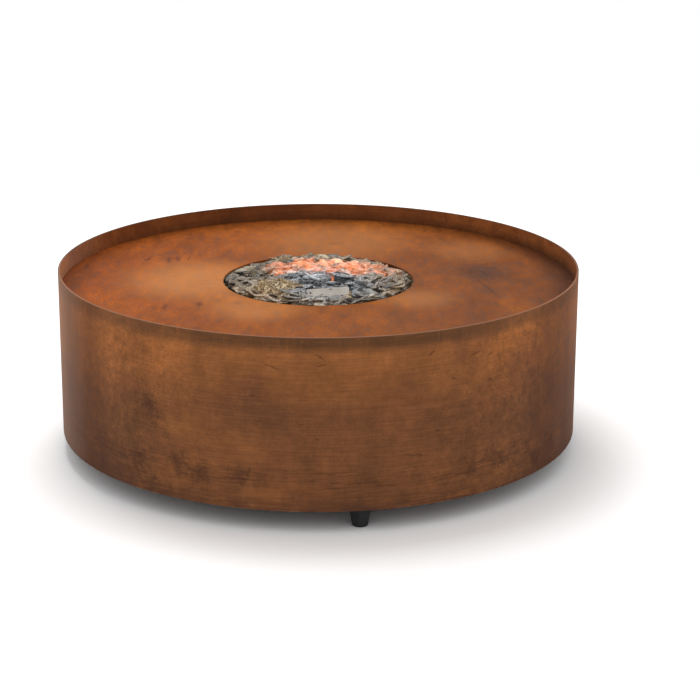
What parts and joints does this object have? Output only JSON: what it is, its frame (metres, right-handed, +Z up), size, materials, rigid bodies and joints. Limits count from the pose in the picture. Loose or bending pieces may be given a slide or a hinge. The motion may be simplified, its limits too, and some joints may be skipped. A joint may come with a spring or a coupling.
{
  "type": "gas fire pit",
  "caption": "Round weathering-steel gas fire pit: a drum on levelling feet with a sunk tray, a central bowl of fire stones over a ring burner, and rear gas controls.",
  "frame": {"origin": "on the ground under the drum's axis", "axes": "+Z up, +Y towards the rear wall with the controls, +X to the right seen from the front"},
  "size_m": [0.9999, 1, 0.358],
  "materials": {
    "weathering_steel": "weathering steel with an even rust patina",
    "zinc_steel": "zinc plated",
    "stainless_steel": "brushed",
    "fire_stone": "dark glassy slag",
    "lava_fill": "crushed lava",
    "cast_iron": "as cast",
    "brass": "turned",
    "copper": "drawn copper tube",
    "aluminium": "die cast and drawn",
    "bright_steel": "turned",
    "ceramic": "fired",
    "silicone": "smooth",
    "black_plastic": "moulded",
    "red_plastic": "moulded"
  },
  "bodies": {
    "drum": {"drum_shell": "weathering_steel", "top_tray": "weathering_steel", "base_ring": "weathering_steel", "tray_lugs": "weathering_steel", "tray_studs": "zinc_steel", "tray_nuts": "zinc_steel", "bowl_studs": "zinc_steel", "bowl_nuts": "zinc_steel", "foot_nuts": "zinc_steel", "burner_locknut": "zinc_steel", "igniter_nut": "zinc_steel", "valve_screws": "zinc_steel", "fire_bowl": "stainless_steel", "grate_tabs": "stainless_steel", "media_grate": "stainless_steel", "burner_ring": "stainless_steel", "burner_hub": "stainless_steel", "pilot_bracket": "stainless_steel", "thermocouple": "stainless_steel", "control_box": "stainless_steel", "fire_stones": "fire_stone", "fire_bed": "lava_fill", "air_mixer": "cast_iron", "injector": "brass", "gas_elbow": "brass", "gas_inlet": "brass", "inlet_nut": "brass", "pilot_burner": "brass", "main_gas_pipe": "copper", "inlet_pipe": "copper", "thermocouple_lead": "copper", "pilot_gas_pipe": "aluminium", "control_valve": "aluminium", "spark_electrode": "ceramic", "ignition_lead": "silicone", "igniter_body": "black_plastic"},
    "foot_1": {"levelling_foot_1": "black_plastic", "foot_stud_1": "zinc_steel"},
    "foot_2": {"levelling_foot_2": "black_plastic", "foot_stud_2": "zinc_steel"},
    "foot_3": {"levelling_foot_3": "black_plastic", "foot_stud_3": "zinc_steel"},
    "foot_4": {"levelling_foot_4": "black_plastic", "foot_stud_4": "zinc_steel"},
    "spindle": {"valve_spindle": "bright_steel"},
    "knob": {"control_knob": "black_plastic"},
    "button": {"igniter_button": "red_plastic"},
    "shutter": {"air_shutter": "stainless_steel"}
  },
  "joints": [
    {"name": "foot_1_adjust", "type": "slide", "parent": "drum", "child": "foot_1", "axis": [0, 0, -1], "range_m": [0, 0.015]},
    {"name": "foot_2_adjust", "type": "slide", "parent": "drum", "child": "foot_2", "axis": [0, 0, -1], "range_m": [0, 0.015]},
    {"name": "foot_3_adjust", "type": "slide", "parent": "drum", "child": "foot_3", "axis": [0, 0, -1], "range_m": [0, 0.015]},
    {"name": "foot_4_adjust", "type": "slide", "parent": "drum", "child": "foot_4", "axis": [0, 0, -1], "range_m": [0, 0.015]},
    {"name": "knob_turn", "type": "hinge", "parent": "drum", "child": "spindle", "pos_m": [0, 0.468, 0.148], "axis": [0, 1, 0], "range_deg": [0, 180]},
    {"name": "knob_push", "type": "slide", "parent": "spindle", "child": "knob", "axis": [0, -1, 0], "range_m": [0, 0.004], "stiffness_N_per_m": 1500},
    {"name": "igniter_push", "type": "slide", "parent": "drum", "child": "button", "axis": [0, -1, 0], "range_m": [0, 0.006], "stiffness_N_per_m": 1500},
    {"name": "shutter_turn", "type": "hinge", "parent": "drum", "child": "shutter", "pos_m": [0, 0, 0.1635], "axis": [0, 0, 1], "range_deg": [0, 45]}
  ]
}
